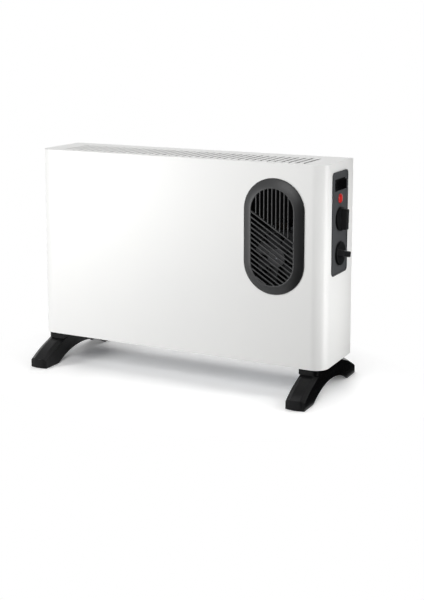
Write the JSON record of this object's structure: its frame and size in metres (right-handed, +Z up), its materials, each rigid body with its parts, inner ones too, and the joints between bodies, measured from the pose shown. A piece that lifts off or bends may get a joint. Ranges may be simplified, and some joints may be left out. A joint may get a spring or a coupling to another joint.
{
  "type": "convector heater",
  "caption": "Free-standing convector heater: white steel casing with slotted top, oval fan grille, side control panel with rocker, lamp and knobs, on arched black feet.",
  "frame": {"origin": "on the floor, below the middle of the whole heater", "axes": "+X towards the end with the control panel, +Y towards the back, +Z up"},
  "size_m": [0.5552, 0.231, 0.38],
  "materials": {
    "white_steel": "smooth powder coat",
    "black_plastic": "fine moulded texture",
    "black_rocker": "polished",
    "red_lens": "clear red",
    "zinc_steel": "zinc plated",
    "stack_steel": "laminated",
    "copper_coil": "enamelled wire",
    "mica": "mica board",
    "ribbon_alloy": "resistance ribbon",
    "grey_plastic": "satin",
    "white_plastic": "satin"
  },
  "bodies": {
    "casing": {"front_casing": "white_steel", "top_panel": "white_steel", "base_plate": "zinc_steel", "back_panel": "white_steel", "back_screws": "zinc_steel", "right_foot": "black_plastic", "left_foot": "black_plastic", "foot_screws": "zinc_steel", "fan_grille": "black_plastic", "grille_screws": "zinc_steel", "fan_frame": "black_plastic", "motor_bracket": "zinc_steel", "motor_stack": "stack_steel", "motor_coil": "copper_coil", "motor_screws": "zinc_steel", "heater_bracket_left": "zinc_steel", "heater_bracket_right": "zinc_steel", "mica_board_front": "mica", "mica_board_rear": "mica", "heating_ribbon_front": "ribbon_alloy", "heating_ribbon_rear": "ribbon_alloy", "thermal_cutout": "white_plastic", "control_panel": "black_plastic", "rocker_switch_body": "black_rocker", "pilot_lens": "red_lens", "pilot_lamp_body": "white_plastic", "selector_switch": "grey_plastic", "thermostat_body": "grey_plastic", "cord_bush": "black_plastic", "terminal_block": "white_plastic"},
    "fan_rotor": {"fan_impeller": "grey_plastic", "motor_rotor": "stack_steel"},
    "rocker": {"fan_rocker": "black_rocker"},
    "selector": {"selector_knob": "black_plastic"},
    "thermostat": {"thermostat_knob": "black_plastic"}
  },
  "joints": [
    {"name": "fan_spin", "type": "hinge", "parent": "casing", "child": "fan_rotor", "pos_m": [0.17505, -0.045, 0.225], "axis": [0, 1, 0], "continuous": true},
    {"name": "rocker_tilt", "type": "hinge", "parent": "casing", "child": "rocker", "pos_m": [0.2582, 0, 0.344], "axis": [0, 0, 1], "range_deg": [0, 12]},
    {"name": "selector_turn", "type": "hinge", "parent": "casing", "child": "selector", "pos_m": [0.2632, 0, 0.288], "axis": [-1, 0, 0], "range_deg": [0, 135]},
    {"name": "thermostat_turn", "type": "hinge", "parent": "casing", "child": "thermostat", "pos_m": [0.2632, 0, 0.232], "axis": [-1, 0, 0], "range_deg": [-58, 212]}
  ]
}
